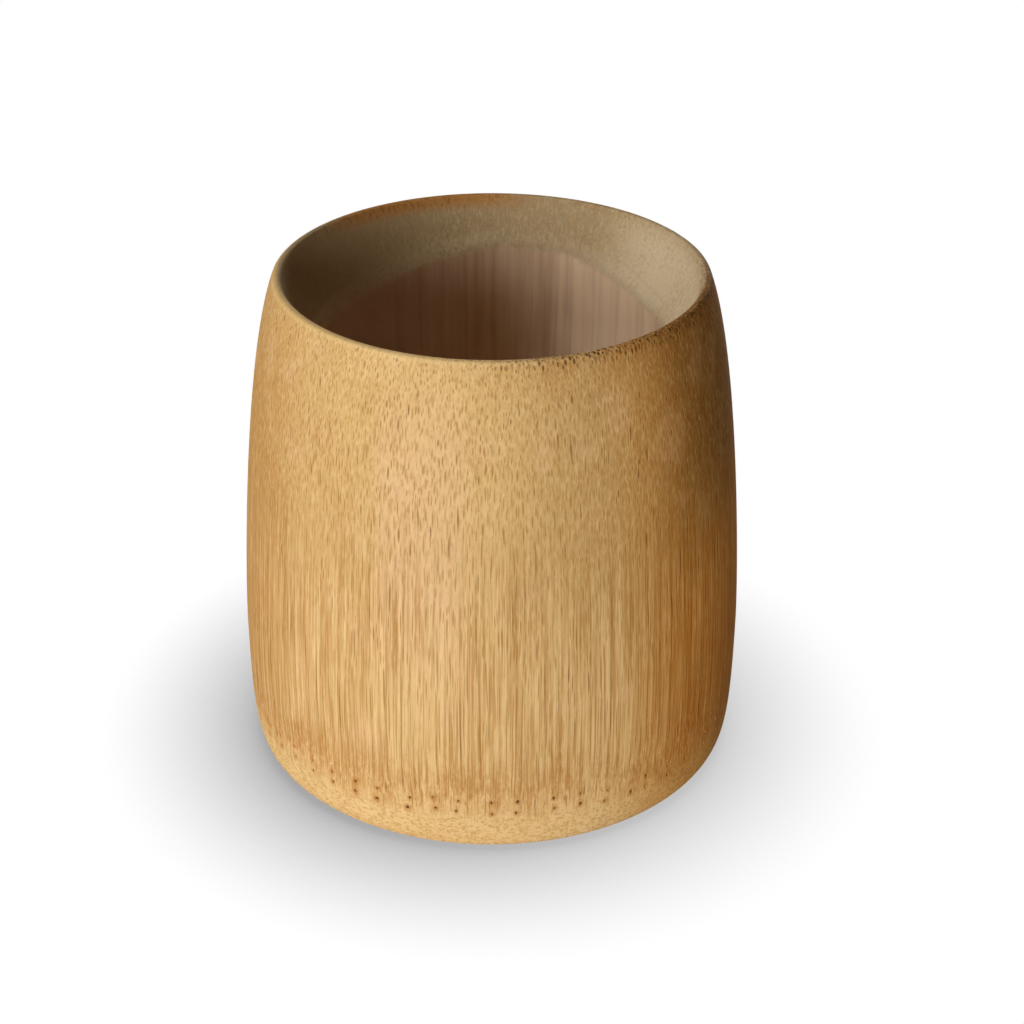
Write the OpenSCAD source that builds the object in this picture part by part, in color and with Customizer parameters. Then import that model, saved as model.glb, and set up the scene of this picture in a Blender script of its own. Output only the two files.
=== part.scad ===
// A handleless cup turned from one natural section of bamboo culm.
// The origin is the centre of the foot, on the surface that the cup stands on. +Z points up through the mouth.

/* [Barrel] */
// Height from the foot to the top of the lip
cup_h = 78; // [66:1:100]
// Diameter at the fullest turn of the barrel
belly_d = 78; // [66:0.5:96]
// Height of the fullest turn above the foot
belly_z = 21; // [16:0.2:36]
// How far the lip's highest circle lies inside the fullest turn
mouth_inset = 7.1; // [4:0.1:8]
// How far the foot's outer edge lies inside the fullest turn
foot_inset = 3.5; // [2:0.1:6]

/* [Lip] */
// Angle from upright at which the outside leans in just below the lip
lip_lean = 21; // [3:0.5:26]
// Radius of the lip's outer rounding
lip_outer_r = 0.8; // [0.4:0.1:2]
// Radius of the lip's inner rounding
lip_inner_r = 0.5; // [0.3:0.1:1.4]
// Width of the flat between the two roundings
lip_flat = 0.2; // [0.1:0.1:0.8]

/* [Inside] */
// Thickness of the culm's wall at the fullest turn, outside the lining
wall_t = 10.6; // [10:0.1:14]
// Thickness of the natural lining of the hollow
skin_t = 0.8; // [0.5:0.1:1.2]
// Depth below the lip at which the turned bevel runs out into the hollow
bevel_depth = 10; // [6:0.5:16]

/* [Node] */
// Height of the nodal band above the foot
node_h = 12; // [8:0.2:16]
// Thickness of the cross wall that closes the bottom
floor_t = 5; // [3:0.2:8]
// Radius of the natural corner between the floor and the hollow
floor_corner_r = 3; // [1:0.2:6]

/* [Foot] */
// Width of the ring that the cup stands on
foot_ring_w = 4; // [3:0.1:4.5]
// Depth of the hollow under the foot
recess_depth = 1; // [0.6:0.1:1.6]
// Radius of the foot ring's inner edge
foot_edge_r = 0.5; // [0.2:0.1:0.5]

/* [Hidden] */

// Facets of the drawn circles
$fn = 128;
// Straight steps in each curve of the barrel, and in each small rounding
barrel_steps = 24;
round_steps = 8;
// How far a cut runs past what it cuts
overrun = 1;

// How full the barrel is: each curve handle's length, as a share of the stretch that it shapes
lean_pull_share = 0.233;
shoulder_pull_share = 0.12;
heel_pull_share = 0.97;
foot_pull_share = 0.706;

belly_r = belly_d / 2;
mouth_r = belly_r - mouth_inset;
foot_r = belly_r - foot_inset;
bore_r = belly_r - wall_t;
hollow_r = bore_r - skin_t;
recess_r = foot_r - foot_ring_w;
floor_z = recess_depth + floor_t;
floor_corner_z = floor_z + floor_corner_r;

// Centres of the lip's two roundings
lip_outer_c = [mouth_r, cup_h - lip_outer_r];
lip_inner_c = [mouth_r - lip_flat, cup_h - lip_inner_r];

// The bevel is the straight line from its run-out to the lip's inner rounding, which it touches
bevel_foot = [hollow_r, cup_h - bevel_depth];
bevel_span = lip_inner_c - bevel_foot;
bevel_lean = atan2(bevel_span.x, bevel_span.y) - asin(lip_inner_r / norm(bevel_span));
bevel_bore_z = bevel_foot.y + skin_t / tan(bevel_lean);

// The outside below the fullest turn, from the foot up, as the four points of a Bezier curve
heel = [
    [foot_r, 0],
    [foot_r + foot_pull_share * foot_inset, 0],
    [belly_r, belly_z * (1 - heel_pull_share)],
    [belly_r, belly_z]
];

// The outside above it, up to where the lip's outer rounding starts
lip_start = lip_outer_c + lip_outer_r * [cos(lip_lean), sin(lip_lean)];
shoulder_h = lip_start.y - belly_z;
shoulder = [
    [belly_r, belly_z],
    [belly_r, belly_z + shoulder_pull_share * shoulder_h],
    lip_start + lean_pull_share * shoulder_h * [sin(lip_lean), -cos(lip_lean)],
    lip_start
];

function arc(centre, radius, from, to) =
    [for (i = [0:round_steps])
        centre + radius * [cos(from + (to - from) * i / round_steps), sin(from + (to - from) * i / round_steps)]];

function bezier(p, t) =
    p[0] * pow(1 - t, 3) + 3 * p[1] * t * pow(1 - t, 2) + 3 * p[2] * t * t * (1 - t) + p[3] * pow(t, 3);

// The points of a curve up to, and without, its last
function along(p) = [for (i = [0:barrel_steps - 1]) bezier(p, i / barrel_steps)];

// Half of the turned culm's section: foot, outside, lip and bevel, with the plain bore behind the lining
module culm_section() {
    polygon(concat(
        [[bore_r, recess_depth], [recess_r, recess_depth]],
        arc([recess_r + foot_edge_r, foot_edge_r], foot_edge_r, 180, 270),
        along(heel),
        along(shoulder),
        arc(lip_outer_c, lip_outer_r, lip_lean, 90),
        arc(lip_inner_c, lip_inner_r, 90, 180 - bevel_lean),
        [[bore_r, bevel_bore_z]]
    ));
}

// The level band that the node takes up, from the foot to where the straight fibres start
module node_band() {
    square([belly_r + overrun, node_h]);
}

// The turned wall of the culm, from the nodal band to the lip
module culm_wall() {
    color("burlywood")
    rotate_extrude()
    difference() {
        culm_section();
        node_band();
    }
}

// The natural lining, cut off by the bevel at the top
module inner_skin() {
    color("saddlebrown")
    rotate_extrude()
    polygon([
        [hollow_r, floor_corner_z],
        [bore_r, floor_corner_z],
        [bore_r, bevel_bore_z],
        bevel_foot
    ]);
}

// The band of crossed fibres round the cross wall, with the foot ring under it
module node_ring() {
    color("tan")
    rotate_extrude()
    intersection() {
        culm_section();
        node_band();
    }
}

// The cross wall of the culm, which is the floor of the cup
module diaphragm() {
    color("wheat")
    rotate_extrude()
    polygon(concat(
        [[0, floor_z], [0, recess_depth], [bore_r, recess_depth], [bore_r, floor_corner_z]],
        arc([hollow_r - floor_corner_r, floor_corner_z], floor_corner_r, 0, -90)
    ));
}

culm_wall();
inner_skin();
node_ring();
diaphragm();
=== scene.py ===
import math

import bmesh
import bpy
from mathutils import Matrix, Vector


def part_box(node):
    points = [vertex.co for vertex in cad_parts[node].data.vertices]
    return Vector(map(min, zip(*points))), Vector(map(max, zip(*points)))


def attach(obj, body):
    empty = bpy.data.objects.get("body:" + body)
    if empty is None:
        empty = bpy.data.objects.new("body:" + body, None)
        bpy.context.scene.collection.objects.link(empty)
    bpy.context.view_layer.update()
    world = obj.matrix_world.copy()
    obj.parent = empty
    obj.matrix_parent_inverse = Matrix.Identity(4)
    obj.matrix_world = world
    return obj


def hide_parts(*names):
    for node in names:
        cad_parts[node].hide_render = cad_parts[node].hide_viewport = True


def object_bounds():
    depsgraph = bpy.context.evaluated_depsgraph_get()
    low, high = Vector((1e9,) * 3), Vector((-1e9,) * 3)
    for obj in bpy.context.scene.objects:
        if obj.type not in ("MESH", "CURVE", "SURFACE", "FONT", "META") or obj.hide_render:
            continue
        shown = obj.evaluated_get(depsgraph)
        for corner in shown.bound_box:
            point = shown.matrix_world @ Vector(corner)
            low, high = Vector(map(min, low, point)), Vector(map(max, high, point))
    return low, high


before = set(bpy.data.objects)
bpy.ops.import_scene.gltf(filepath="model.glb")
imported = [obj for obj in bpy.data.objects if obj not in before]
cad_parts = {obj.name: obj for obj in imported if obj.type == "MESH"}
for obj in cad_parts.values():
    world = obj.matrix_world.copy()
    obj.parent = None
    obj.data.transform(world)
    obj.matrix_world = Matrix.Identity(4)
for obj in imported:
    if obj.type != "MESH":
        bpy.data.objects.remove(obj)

bl_info = {
    "name": "Turned bamboo cup",
    "version": (1, 0, 0),
    "blender": (4, 5, 0),
    "location": "3D View > Sidebar > Bamboo cup",
    "description": "Gives the solids of a cup turned from one section of culm their surface and finish",
    "category": "Add Mesh",
}

MM = 0.001
CAD_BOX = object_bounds()

# The CAD solids' own places, which the pieces made here keep
CUP_H = CAD_BOX[1].z
BELLY_R = CAD_BOX[1].x
NODE_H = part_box("node_ring")[1].z
BORE_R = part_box("inner_skin")[1].x
RECESS_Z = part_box("diaphragm")[0].z
CORNER_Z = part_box("diaphragm")[1].z
CUP_MIDDLE = Vector((0, 0, CUP_H / 2))

# How full the barrel is: each curve handle's length, as a share of the stretch that it shapes
LEAN_PULL = 0.233
SHOULDER_PULL = 0.12
HEEL_PULL = 0.97
FOOT_PULL = 0.706

# Straight steps in each stretch of the section
HEEL_STEPS = 16
SHOULDER_STEPS = 56
LIP_STEPS = (10, 8)
BEVEL_STEPS = 14
LINING_STEPS = 64
NODE_HEEL_STEPS = 36
FLOOR_STEPS = 40
ROUND_STEPS = 10
FLOOR_SEGMENTS = 256

SHARP_ANGLE = math.radians(40)
MERGE_DISTANCE = 0.001 * MM
# The natural relief stays clear of the seams between the pieces
RELIEF_TOP = 64 * MM
RELIEF_RIM = 3 * MM
# The mesh is cut finer within this many pore radii of a pore, into one more than this many parts
PORE_REACH = 2.2
PORE_CUTS = 3

# Soft-edged stretches of the cup, each with its bearing in degrees, its height in millimetres,
# half its turn in degrees, half its height in millimetres and its strength
STRETCHES = {
    "stained": ((-117, 9.5, 7, 4.5, 0.9), (-30, 18, 30, 22, 1.0), (-54, 10, 12, 5.5, 0.8),
                (-46, 78, 52, 7, 0.75), (-160, 22, 22, 18, 0.45), (-104, 12, 26, 6, 0.35),
                (62, 12, 16, 8, 0.6), (140, 14, 20, 12, 0.5), (5, 60, 26, 18, 0.35)),
    # Painted shade: the olive stretch dulls and darkens the front-right, most strongly high up
    "olive": ((-44, 60, 50, 46, 0.9),),
    # Painted shade: darker on the right side, at the left edge and on the front-left
    "dark": ((-14, 42, 50, 90, 0.9), (-168, 46, 36, 60, 0.75), (-138, 38, 28, 56, 0.33)),
    # Painted shade: darkest on the right near the lip
    "darkest": ((-10, 68, 42, 36, 0.8),),
    # Painted sheen: a pale rosy upright stripe on the front, a little left
    "rosy": ((-106, 52, 14, 32, 0.8),),
    # A darker band along the top of the lip on the front and right
    "dark lip edge": ((-5, 78, 95, 9, 0.8),),
    # Painted light: the top of the lip paler on the front-left, where it lies in shade
    "painted lit edge": ((-135, 78, 80, 9, 0.42),),
    "stained lip": ((112, 78.5, 38, 3.4, 1.0),),
    "open vessels": ((-44, 78.4, 64, 3.6, 1.0), (118, 78.4, 50, 3.2, 0.4)),
    # Painted light: the bevel paler on the right, inside the mouth
    "painted lit bevel": ((10, 72.0, 50, 9, 0.85),),
    # Painted shade: the bevel darker on the left, inside the mouth
    "painted shaded bevel": ((168, 72.0, 72, 16, 0.7),),
    # Painted shade: the whole right side darker and warmer
    "painted shade side": ((-16, 44, 52, 200, 1.0),),
    # Painted shade: darker still on the right near the lip
    "painted deep shade": ((-10, 68, 48, 36, 1.0),),
}

PICTURE_SIDE = 1024
SENSOR_WIDTH = 36.0
CLIP_START = 0.01
FLOOR_HALF = 6.0
# What light that bounces off the floor sees, where the camera sees white
FLOOR_BOUNCE = (0.47, 0.31, 0.15, 1)
WHITE = (1, 1, 1, 1)
OPEN_SKY = (0.45, 1.0)
OPEN_SKY_SAMPLES = 16
KEY_SPREAD = math.radians(34)
SIDE_SPREAD = math.radians(20)
BACK_SPREAD = math.radians(16)


def length(name, description, millimetres):
    """A length that a user can change."""
    return bpy.props.FloatProperty(
        name=name, description=description, default=millimetres * MM, unit="LENGTH")


def angle(name, description, degrees):
    """An angle that a user can change."""
    return bpy.props.FloatProperty(
        name=name, description=description, default=math.radians(degrees), unit="ROTATION")


def amount(name, description, default):
    """A plain number that a user can change."""
    return bpy.props.FloatProperty(name=name, description=description, default=default)


def share(name, description, default):
    """A share of a whole that a user can change."""
    return bpy.props.FloatProperty(name=name, description=description, default=default, min=0.0, max=1.0)


def colour(name, description, *default):
    """A colour that a user can change, as linear red, green and blue."""
    return bpy.props.FloatVectorProperty(name=name, description=description, subtype="COLOR", default=default)


class CupShape(bpy.types.PropertyGroup):
    """Sizes of the turned outside, the lip and the inside."""

    belly_z: length("Fullest turn", "Height of the fullest turn of the barrel", 21.0)
    mouth_inset: length("Mouth inset", "How far the lip's highest circle lies inside the fullest turn", 7.1)
    foot_inset: length("Foot inset", "How far the foot's edge lies inside the fullest turn", 3.5)
    lip_lean: angle("Lip lean", "Angle from upright just below the lip", 21)
    lip_outer_r: length("Lip outer radius", "Radius of the lip's outer rounding", 0.8)
    lip_inner_r: length("Lip inner radius", "Radius of the lip's inner rounding", 0.5)
    lip_flat: length("Lip flat", "Width of the flat between the two roundings", 0.2)
    lining_t: length("Lining", "Thickness of the natural lining of the hollow", 0.8)
    bevel_depth: length("Bevel depth", "Depth below the lip at which the bevel runs out", 10.0)
    floor_t: length("Floor", "Thickness of the cross wall", 5.0)
    foot_ring_w: length("Foot ring", "Width of the ring that the cup stands on", 4.0)
    foot_edge_r: length("Foot edge", "Radius of the foot ring's inner edge", 0.5)
    segments: bpy.props.IntProperty(
        name="Segments", description="Facets round the axis", default=720, min=64)


class HollowShape(bpy.types.PropertyGroup):
    """How the natural hollow departs from a true cylinder."""

    tight: length("Tight side", "How far the hollow's narrow side lies inside the true cylinder", 0.9)
    wide: length("Wide side", "How far the hollow's wide side lies outside the true cylinder", 1.15)
    bearing: angle("Bearing", "Direction of the wide side, round +Z from +X", 80)
    spread: angle("Spread", "Half width of the wide side", 46)
    wobble: share("Wobble", "Share of the whole departure that is irregular", 0.3)
    relief: length("Relief", "Depth of the natural skin's upright ridges", 0.16)


class PoreShape(bpy.types.PropertyGroup):
    """The pairs of dark pores round the node."""

    pairs: bpy.props.IntProperty(
        name="Pairs", description="Pairs of pores round the cup", default=56, min=1)
    upper_z: length("Upper row", "Height of the upper row", 9.1)
    row_gap: length("Row gap", "Height between the two rows", 2.0)
    radius: length("Radius", "Radius of a pore", 0.26)
    depth: length("Depth", "Depth of a pore", 0.35)
    scatter: share("Scatter", "Random shift of a pair, as a share of the pairs' spacing", 0.45)
    seed: bpy.props.IntProperty(name="Seed", description="Draw of the random shifts", default=11)


class BambooColours(bpy.types.PropertyGroup):
    """Colours of the tissues, as linear red, green and blue."""

    ground: colour("Ground", "Tissue between the bundles", 0.81, 0.55, 0.245)
    # Painted shade: the ground on the cup's shaded right side and left edge
    ground_painted_shade: colour("Dark ground", "The same where the culm is a shade darker", 0.57, 0.265, 0.065)
    # Painted shade: the ground where the shade is deepest, on the right near the lip
    ground_painted_deepest_shade: colour("Deep ground", "The same where the culm is darkest", 0.34, 0.15, 0.03)
    # Also painted shade where the olive stretch lays it on
    ground_olive_and_shade: colour("Olive ground", "The same where the culm is duller", 0.64, 0.395, 0.15)
    # Also a painted sheen in the rosy stretch
    ground_pink_and_sheen: colour("Rosy ground", "Faint rosy patches in the ground", 0.86, 0.56, 0.31)
    fibre_light: colour("Light fibre", "Light upright fibres", 0.93, 0.69, 0.35)
    fibre_dark: colour("Dark fibre", "Dark upright fibres and fine bundles", 0.44, 0.20, 0.033)
    bundle: colour("Bundle", "Dark core of a cut bundle", 0.24, 0.09, 0.018)
    amber: colour("Amber", "Stained tissue round the node", 0.52, 0.215, 0.045)
    # Darker at the top of the lip, and the specks in the lip's stain
    rim: colour("Rim", "Browned edge of the lip", 0.36, 0.18, 0.06)
    # Partly the node's own paler tissue, partly painted light on the heel where it turns under
    node_ground_and_light: colour("Node ground", "Tissue of the nodal band", 0.88, 0.64, 0.30)
    # Painted light on the top of the lip
    lip_painted_light: colour("Pale lip", "Edge of the lip where it stays pale", 0.97, 0.69, 0.32)
    node_dark: colour("Node specks", "Dull specks in the nodal band", 0.56, 0.32, 0.085)
    # Painted shade: a little darker over the upper half
    upper_painted_shade: colour("Upper tint", "What the colours of the upper half are multiplied by", 0.93, 0.93, 0.90)
    # Painted shade: darker and warmer on the right side
    warm_painted_shade: colour("Warm tint", "What the colours of the warmer side are multiplied by", 1.0, 0.82, 0.54)
    # Painted shade on the right near the lip
    deep_painted_shade: colour("Deep tint", "What the colours near the lip there are multiplied by", 0.68, 0.76, 0.92)
    vessel: colour("Vessel", "Open vessels of the bundles cut across at the lip", 0.13, 0.045, 0.01)
    pore: colour("Pore", "Inside of a pore", 0.17, 0.07, 0.02)
    inner_ground: colour("Inner ground", "Tissue just outside the natural lining", 0.61, 0.48, 0.31)
    # Painted shade on the bevel's left side
    inner_painted_shade: colour("Brown inner ground", "Browned stretch of the bevelled tissue", 0.34, 0.23, 0.12)
    # Painted light on the bevel's right side
    inner_painted_light: colour("Pale inner ground", "Smooth pale stretch of the bevelled tissue", 0.80, 0.64, 0.41)
    inner_dark: colour("Inner ground by the lip", "Bevelled tissue higher up", 0.43, 0.31, 0.165)
    inner_mottle: colour("Inner mottle", "Dull spots in the bevelled tissue", 0.36, 0.27, 0.14)
    lining: colour("Lining", "Natural skin of the hollow", 0.88, 0.65, 0.43)
    lining_dark: colour("Dark lining", "Dark streaks of the natural skin", 0.58, 0.375, 0.235)
    # Partly the skin's own darker tone, partly painted shade on the side the light doesn't reach; also the
    # cross wall's specks
    lining_deep_and_shade: colour("Deep lining", "The darker side of the natural skin", 0.35, 0.205, 0.12)
    floor: colour("Cross wall", "The natural cross wall", 0.50, 0.35, 0.20)


class StageSettings(bpy.types.PropertyGroup):
    """The camera, the floor and the lights."""

    distance: length("Camera distance", "From the cup's middle to the camera", 350.0)
    elevation: angle("Camera elevation", "Angle of the camera above level", 28.55)
    lens: amount("Lens", "Focal length in mm for a 36 mm wide frame", 78.53)
    contact_reach: length("Contact reach", "How far the soft shade round the foot reaches", 26.0)
    shade_left: share("Shade on the left", "The floor's brightness beside the foot, left of the cup", 0.38)
    shade_right: share("Shade on the right", "The floor's brightness beside the foot, right of the cup", 0.55)
    axis_px: amount("Axis in the picture", "Where the cup's axis stands in a frame 1024 wide", 491.8)
    middle_px: amount("Middle in the picture", "Where the cup's middle stands in a frame 1024 high", 501.1)
    key_bearing: angle("Key bearing", "Direction of the key light, round +Z from the camera's side", -13)
    key_height: angle("Key height", "Angle of the key and the back light above level", 1)
    key_strength: amount("Key strength", "Key light in watts per square metre", 2.33)
    side_bearing: angle("Side bearing", "Direction of the side light, round +Z from the camera's side", -88)
    side_height: angle("Side height", "Angle of the side light above level", 46)
    side_strength: amount("Side strength", "Side light in watts per square metre", 1.62)
    back_bearing: angle("Back bearing", "Direction of the back light, round +Z from the camera's side", 165)
    back_strength: amount("Back strength", "Back light in watts per square metre", 1.3)
    fill_strength: amount("Fill strength", "Light of the surroundings", 0.04)
    fill_colour: colour("Fill colour", "Colour of the surroundings' light", 1.0, 0.70, 0.42)


class NodeSketch:
    """Adds nodes to a tree and joins them, so that a pattern reads like its formula."""

    def __init__(self, tree):
        self.tree = tree

    def add(self, kind, inputs=None, **settings):
        node = self.tree.nodes.new(kind)
        for name, value in settings.items():
            setattr(node, name, value)
        for name, value in (inputs or {}).items():
            self.join(value, node.inputs[name])
        return node

    def make(self, kind, inputs=None, **settings):
        """The first output of a new node."""
        return self.add(kind, inputs, **settings).outputs[0]

    def join(self, value, socket):
        if isinstance(value, bpy.types.NodeSocket):
            self.tree.links.new(value, socket)
        else:
            socket.default_value = value

    def math(self, operation, *values, clamp=False):
        return self.make("ShaderNodeMath", dict(enumerate(values)), operation=operation, use_clamp=clamp)

    def chain(self, operation, values, clamp=False):
        total = values[0]
        for value in values[1:]:
            total = self.math(operation, total, value, clamp=clamp)
        return total

    def plus(self, *values, clamp=False):
        return self.chain("ADD", values, clamp)

    def minus(self, first, second):
        return self.math("SUBTRACT", first, second)

    def times(self, *values):
        return self.chain("MULTIPLY", values)

    def most(self, *values):
        return self.chain("MAXIMUM", values)

    def vector(self, operation, *values):
        node = self.add("ShaderNodeVectorMath", operation=operation)
        sockets = [node.inputs["Scale"]] if operation == "SCALE" else list(node.inputs[1:])
        for value, socket in zip(values, [node.inputs[0]] + sockets):
            self.join(value, socket)
        return node.outputs["Value" if operation in {"LENGTH", "DISTANCE"} else "Vector"]

    def combine(self, x, y, z):
        return self.make("ShaderNodeCombineXYZ", {"X": x, "Y": y, "Z": z})

    def split(self, vector):
        return self.add("ShaderNodeSeparateXYZ", {0: vector}).outputs

    def ramp(self, value, low, high, to_low=0.0, to_high=1.0, smooth=True):
        """A value's place between low and high, as a soft or a straight step."""
        return self.add("ShaderNodeMapRange", {
            "Value": value, "From Min": low, "From Max": high, "To Min": to_low, "To Max": to_high,
        }, interpolation_type="SMOOTHSTEP" if smooth else "LINEAR").outputs["Result"]

    def noise(self, vector, scale, detail, roughness):
        return self.add("ShaderNodeTexNoise", {
            "Vector": vector, "Scale": scale, "Detail": detail, "Roughness": roughness}).outputs["Fac"]

    def cells(self, vector, scale, randomness, dimensions):
        node = self.add("ShaderNodeTexVoronoi", {"Vector": vector, "Scale": scale, "Randomness": randomness},
                        voronoi_dimensions=dimensions)
        return node.outputs["Distance"], node.outputs["Color"]

    def blend(self, factor, first, second, mode="MIX"):
        """Two colours mixed by a factor."""
        return self.add("ShaderNodeMix", {"Factor": factor, 6: opaque(first), 7: opaque(second)},
                        data_type="RGBA", blend_type=mode, clamp_factor=True).outputs[2]

    def paint(self, base, *coats, mode="MIX"):
        """A colour under coats of other colours, each given as its mask and its colour."""
        for mask, coat in coats:
            base = self.blend(mask, base, coat, mode)
        return base

    def whole(self, operation, first, second):
        """Arithmetic on whole numbers."""
        return self.make("FunctionNodeIntegerMath", {0: first, 1: second}, operation=operation)

    def position(self):
        return self.make("GeometryNodeInputPosition")

    def attribute(self, name, kind="FLOAT"):
        return self.make("GeometryNodeInputNamedAttribute", {"Name": name}, data_type=kind)

    def sample(self, geometry, index, field, kind="FLOAT"):
        """What a field gives at one point of a geometry."""
        return self.add("GeometryNodeSampleIndex", {"Geometry": geometry, "Index": index, "Value": field},
                        data_type=kind).outputs["Value"]

    def store(self, geometry, name, value):
        """A geometry whose points carry a named value."""
        return self.make("GeometryNodeStoreNamedAttribute",
                         {"Geometry": geometry, "Name": name, "Value": value},
                         data_type="FLOAT", domain="POINT")

    def lift(self, geometry, amount):
        """A geometry moved along its own normals."""
        offset = self.vector("SCALE", self.make("GeometryNodeInputNormal"), amount)
        return self.make("GeometryNodeSetPosition", {"Geometry": geometry, "Offset": offset})

    def deliver(self, geometry, material, out):
        """Ends a tree in a real mesh with its material."""
        real = self.make("GeometryNodeRealizeInstances", {"Geometry": geometry})
        self.join(self.make("GeometryNodeSetMaterial", {"Geometry": real, "Material": material}), out)


def opaque(colour):
    """A colour with its alpha, where it is a plain colour and not a socket."""
    if isinstance(colour, bpy.types.NodeSocket):
        return colour
    return (*colour[:3], 1.0)


def bezier(points, share):
    """The place on a curve of four points."""
    a, b, c, d = points
    rest = 1 - share
    return a * rest ** 3 + 3 * b * share * rest ** 2 + 3 * c * share ** 2 * rest + d * share ** 3


def arc(centre, radius, start, end, steps):
    """Places on a rounding, with angles in degrees."""
    angles = [math.radians(start + (end - start) * i / steps) for i in range(steps + 1)]
    return [centre + radius * Vector((math.cos(a), math.sin(a))) for a in angles]


def line(start, end, steps):
    """Places on a straight line, without its last."""
    return [start.lerp(end, i / steps) for i in range(steps)]


class Section:
    """Half of the cup's section as lines of (radius, height) places, which the pieces share."""

    def __init__(self, shape, wide=0.0):
        self.shape = shape
        mouth_r = BELLY_R - shape.mouth_inset
        foot_r = BELLY_R - shape.foot_inset
        self.recess_r = foot_r - shape.foot_ring_w
        self.hollow_r = BORE_R - shape.lining_t
        self.heel = [
            Vector((foot_r, 0)),
            Vector((foot_r + FOOT_PULL * shape.foot_inset, 0)),
            Vector((BELLY_R, shape.belly_z * (1 - HEEL_PULL))),
            Vector((BELLY_R, shape.belly_z)),
        ]
        outer_c = Vector((mouth_r, CUP_H - shape.lip_outer_r))
        lean = shape.lip_lean
        lip_start = outer_c + shape.lip_outer_r * Vector((math.cos(lean), math.sin(lean)))
        rise = lip_start.y - shape.belly_z
        self.shoulder = [
            Vector((BELLY_R, shape.belly_z)),
            Vector((BELLY_R, shape.belly_z + SHOULDER_PULL * rise)),
            lip_start + LEAN_PULL * rise * Vector((math.sin(lean), -math.cos(lean))),
            lip_start,
        ]
        inner_c = Vector((mouth_r - shape.lip_flat, CUP_H - shape.lip_inner_r))
        true_foot = Vector((self.hollow_r, CUP_H - shape.bevel_depth))
        span = inner_c - true_foot
        self.lean = math.atan2(span.x, span.y) - math.asin(shape.lip_inner_r / span.length)
        self.lip = arc(outer_c, shape.lip_outer_r, math.degrees(lean), 90, LIP_STEPS[0])
        self.lip += arc(inner_c, shape.lip_inner_r, 90, 180 - math.degrees(self.lean), LIP_STEPS[1])
        # Where the hollow is wider or narrower, the bevel runs out higher or lower on the same cone
        down_cone = Vector((1, 1 / math.tan(self.lean)))
        self.bevel_foot = true_foot + wide * down_cone
        self.bevel_bore = self.bevel_foot + shape.lining_t * down_cone
        self.bore = BORE_R + wide
        # Where the heel reaches the node's top
        self.node_share = self.heel_share(NODE_H)
        self.node_edge = Vector((bezier(self.heel, self.node_share).x, NODE_H))

    def heel_share(self, height):
        """The share of the heel's curve at which it reaches a height."""
        low, high = 0.0, 1.0
        for _ in range(40):
            middle = (low + high) / 2
            if bezier(self.heel, middle).y < height:
                low = middle
            else:
                high = middle
        return low

    def wall(self):
        """The turned wall, closed: node edge, outside, lip, bevel, bore and the face on the node."""
        edge = self.node_edge
        left = 1 - self.node_share
        heel = [bezier(self.heel, self.node_share + left * i / HEEL_STEPS) for i in range(1, HEEL_STEPS)]
        shoulder = [bezier(self.shoulder, i / SHOULDER_STEPS) for i in range(SHOULDER_STEPS)]
        bevel = line(self.lip[-1], self.bevel_bore, BEVEL_STEPS)[1:]
        low = Vector((self.bore, NODE_H))
        return ([edge] + heel + shoulder + self.lip + bevel + line(self.bevel_bore, low, 6)
                + line(low, edge, 3) + [edge])

    def lining(self):
        """The natural skin, closed: its inner face from the top down, and its back."""
        low = Vector((self.hollow_r, CORNER_Z))
        low_back = Vector((BORE_R, CORNER_Z))
        return (line(self.bevel_foot, low, LINING_STEPS) + line(low, low_back, 2)
                + line(low_back, self.bevel_bore, 8) + line(self.bevel_bore, self.bevel_foot, 3)
                + [self.bevel_foot])

    def node_ring(self):
        """The nodal band, closed: foot ring, heel, the face under the wall, and the bore."""
        top = Vector((BORE_R, NODE_H))
        ceiling = Vector((BORE_R, RECESS_Z))
        recess = Vector((self.recess_r, RECESS_Z))
        edge_r = self.shape.foot_edge_r
        foot = arc(Vector((self.recess_r + edge_r, edge_r)), edge_r, 180, 270, 5)
        heel = [bezier(self.heel, self.node_share * i / NODE_HEEL_STEPS) for i in range(NODE_HEEL_STEPS)]
        return (line(ceiling, recess, 2) + [recess] + foot + line(foot[-1], self.heel[0], 6)[1:] + heel
                + line(self.node_edge, top, 4) + line(top, ceiling, 4) + [ceiling])

    def cross_wall(self):
        """The cross wall from its middle: floor, rounded corner, rim, back and underside."""
        floor_z = RECESS_Z + self.shape.floor_t
        round_r = CORNER_Z - floor_z
        corner = arc(Vector((self.hollow_r - round_r, CORNER_Z)), round_r, -90, 0, ROUND_STEPS)
        rim = Vector((BORE_R, CORNER_Z))
        low = Vector((BORE_R, RECESS_Z))
        under = Vector((0, RECESS_Z))
        return (line(Vector((0, floor_z)), corner[0], FLOOR_STEPS) + corner + line(rim, low, 4)
                + line(low, under, 30) + [under])


def new_tree(name, kind, gives, takes):
    """A node group and a sketch to fill it with; each named socket has its kind or its default number."""
    tree = bpy.data.node_groups.new(name, kind)
    for direction, sockets in (("OUTPUT", gives), ("INPUT", takes)):
        for label, value in sockets.items():
            socket_kind = {str: value, int: "Int", float: "Float"}[type(value)]
            item = tree.interface.new_socket(label, in_out=direction, socket_type=f"NodeSocket{socket_kind}")
            if not isinstance(value, str):
                item.default_value = value
    source = tree.nodes.new("NodeGroupInput")
    sink = tree.nodes.new("NodeGroupOutput")
    return tree, NodeSketch(tree), source.outputs, sink.inputs


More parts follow.
